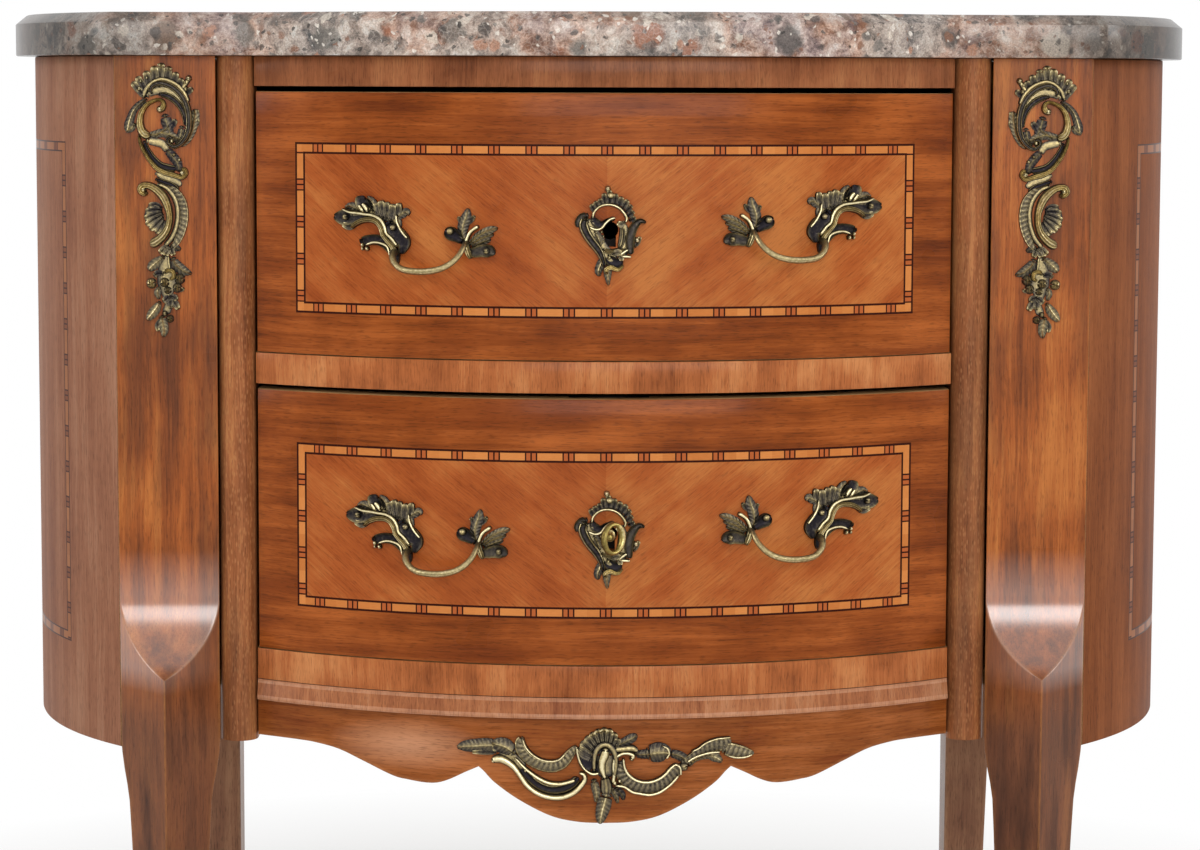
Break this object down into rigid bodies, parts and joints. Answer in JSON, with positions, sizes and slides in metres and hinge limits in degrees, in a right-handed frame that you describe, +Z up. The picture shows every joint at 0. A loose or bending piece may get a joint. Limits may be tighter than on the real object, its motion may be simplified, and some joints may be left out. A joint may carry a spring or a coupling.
{
  "type": "chest of drawers",
  "caption": "Kidney-shaped chest of drawers with bowed front, marble top, tapered legs, gilt pulls and mounts, and sliding drawers with locks.",
  "frame": {"origin": "on the floor, under the middle of the chest's box", "axes": "+X to the right as the drawers are faced, -Y out of the drawer fronts, +Z up"},
  "size_m": [0.7892, 0.4416, 0.78],
  "materials": {
    "marble": "polished",
    "front_veneer": "satin lacquer",
    "crossband_veneer": "satin lacquer",
    "case_wood": "satin lacquer",
    "pilaster_wood": "satin lacquer",
    "carcass_wood": "bare wood",
    "gilt_bronze": "antiqued",
    "key_brass": "worn polish",
    "lock_iron": "oiled"
  },
  "bodies": {
    "case": {"marble_top": "marble", "front_leg_left": "case_wood", "front_leg_right": "case_wood", "rear_leg_left": "case_wood", "rear_leg_right": "case_wood", "sabot_left": "gilt_bronze", "sabot_right": "gilt_bronze", "pilaster_left": "pilaster_wood", "pilaster_right": "pilaster_wood", "side_panel_left": "case_wood", "side_panel_right": "case_wood", "back_panel": "carcass_wood", "top_board": "carcass_wood", "dust_board": "carcass_wood", "bottom_board": "carcass_wood", "upper_runner_left": "carcass_wood", "upper_runner_right": "carcass_wood", "lower_runner_left": "carcass_wood", "lower_runner_right": "carcass_wood", "top_rail": "crossband_veneer", "middle_rail": "crossband_veneer", "bottom_rail": "crossband_veneer", "apron_moulding": "crossband_veneer", "apron": "case_wood", "apron_mount": "gilt_bronze", "chute_left": "gilt_bronze", "chute_right": "gilt_bronze"},
    "upper_drawer": {"upper_drawer_front": "front_veneer", "upper_drawer_side_left": "carcass_wood", "upper_drawer_side_right": "carcass_wood", "upper_drawer_bottom": "carcass_wood", "upper_drawer_back": "carcass_wood", "upper_lock": "lock_iron", "upper_escutcheon": "gilt_bronze", "upper_left_handle": "gilt_bronze", "upper_right_handle": "gilt_bronze"},
    "lower_drawer": {"lower_drawer_front": "front_veneer", "lower_drawer_side_left": "carcass_wood", "lower_drawer_side_right": "carcass_wood", "lower_drawer_bottom": "carcass_wood", "lower_drawer_back": "carcass_wood", "lower_lock": "lock_iron", "lower_escutcheon": "gilt_bronze", "lower_left_handle": "gilt_bronze", "lower_right_handle": "gilt_bronze"},
    "upper_bolt": {"upper_bolt": "lock_iron"},
    "lower_bolt": {"lower_bolt": "lock_iron"},
    "key": {"key": "key_brass"}
  },
  "joints": [
    {"name": "upper_drawer_slide", "type": "slide", "parent": "case", "child": "upper_drawer", "axis": [0, -1, 0], "range_m": [0, 0.23]},
    {"name": "lower_drawer_slide", "type": "slide", "parent": "case", "child": "lower_drawer", "axis": [0, -1, 0], "range_m": [0, 0.23]},
    {"name": "upper_bolt_slide", "type": "slide", "parent": "upper_drawer", "child": "upper_bolt", "axis": [0, 0, 1], "range_m": [0, 0.009]},
    {"name": "lower_bolt_slide", "type": "slide", "parent": "lower_drawer", "child": "lower_bolt", "axis": [0, 0, 1], "range_m": [0, 0.009]},
    {"name": "key_turn", "type": "hinge", "parent": "lower_drawer", "child": "key", "pos_m": [0.002, -0.1926, 0.4595], "axis": [0, 1, 0], "range_deg": [0, 360]}
  ],
  "couplings": [
    {"joint": "key_turn", "follows": "lower_bolt_slide", "rad_per_m": 698}
  ]
}
